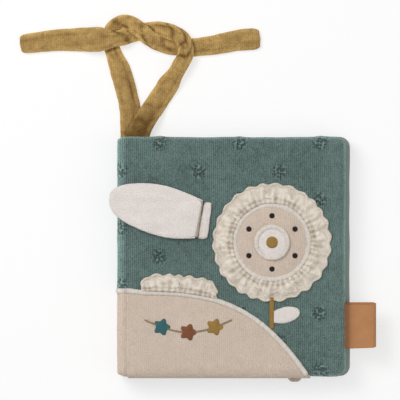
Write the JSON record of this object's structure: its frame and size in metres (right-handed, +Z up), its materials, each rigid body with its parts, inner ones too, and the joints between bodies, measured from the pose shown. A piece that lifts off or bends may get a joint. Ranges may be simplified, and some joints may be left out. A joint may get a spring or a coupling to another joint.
{
  "type": "crinkle cloth book",
  "caption": "Square padded cloth book with a cloth spine, crinkle film in its pages, a sewn flower with a loose leaf, and two tie straps.",
  "frame": {"origin": "middle of the underside box of the book without its straps; the book lies shut on its back cover", "axes": "+Z up out of the front cover, +Y along the spine towards the straps, -X towards the spine"},
  "size_m": [0.1995, 0.2059, 0.025],
  "materials": {
    "teal_velour": "cut velour with a tonal dot",
    "beige_velour": "cut velour",
    "white_velour": "cut velour",
    "cream_cotton": "gathered thin creased cotton",
    "page_cloth": "plain cotton jersey",
    "ochre_strap": "ribbed velour tube",
    "label_leather": "smooth tan leather",
    "crinkle_film": "thin crackling film",
    "wadding": "polyester wadding",
    "dark_thread": "satin stitch",
    "ochre_thread": "satin stitch",
    "teal_thread": "satin stitch",
    "rust_thread": "satin stitch"
  },
  "bodies": {
    "back_cover": {"back_cover_lining": "page_cloth", "back_cover_velour": "teal_velour", "back_cover_crinkle_film": "crinkle_film", "back_cover_wadding": "wadding", "strap_under": "ochre_strap", "strap_over": "ochre_strap"},
    "spine_and_page": {"spine_cloth": "teal_velour", "page_root_tape": "page_cloth", "page_front_cloth": "page_cloth", "page_back_cloth": "page_cloth", "page_crinkle_film": "crinkle_film", "page_wadding": "wadding", "page_tab": "beige_velour"},
    "front_cover": {"front_cover_velour": "teal_velour", "front_cover_lining": "page_cloth", "front_cover_crinkle_film": "crinkle_film", "front_cover_wadding": "wadding", "label_loop": "label_leather", "hill_patch": "beige_velour", "hill_corded_edge": "white_velour", "hill_frill": "cream_cotton", "bloom_patch": "beige_velour", "bloom_corded_edge": "white_velour", "bloom_frill": "cream_cotton", "middle_patch": "white_velour", "middle_corded_edge": "white_velour", "middle_seed": "ochre_thread", "seed_1": "dark_thread", "seed_2": "dark_thread", "seed_3": "dark_thread", "seed_4": "dark_thread", "seed_5": "dark_thread", "seed_6": "dark_thread", "flower_stem": "ochre_thread", "leaf_root_strip": "white_velour", "leaf_sewn": "white_velour", "garland_thread": "ochre_thread", "garland_flower_teal": "teal_thread", "garland_flower_rust": "rust_thread", "garland_flower_ochre": "ochre_thread"},
    "leaf_flap": {"leaf_flap_front": "white_velour", "leaf_flap_back": "beige_velour"}
  },
  "joints": [
    {"name": "back_crease", "type": "hinge", "parent": "back_cover", "child": "spine_and_page", "pos_m": [-0.06782, 0, 0.0019], "axis": [0, -1, 0], "range_deg": [0, 90]},
    {"name": "front_crease", "type": "hinge", "parent": "spine_and_page", "child": "front_cover", "pos_m": [-0.06782, 0, 0.0191], "axis": [0, -1, 0], "range_deg": [0, 90]},
    {"name": "leaf_turn", "type": "hinge", "parent": "front_cover", "child": "leaf_flap", "pos_m": [-0.02187, 0, 0.02334], "axis": [0, 1, 0], "range_deg": [0, 150]}
  ]
}
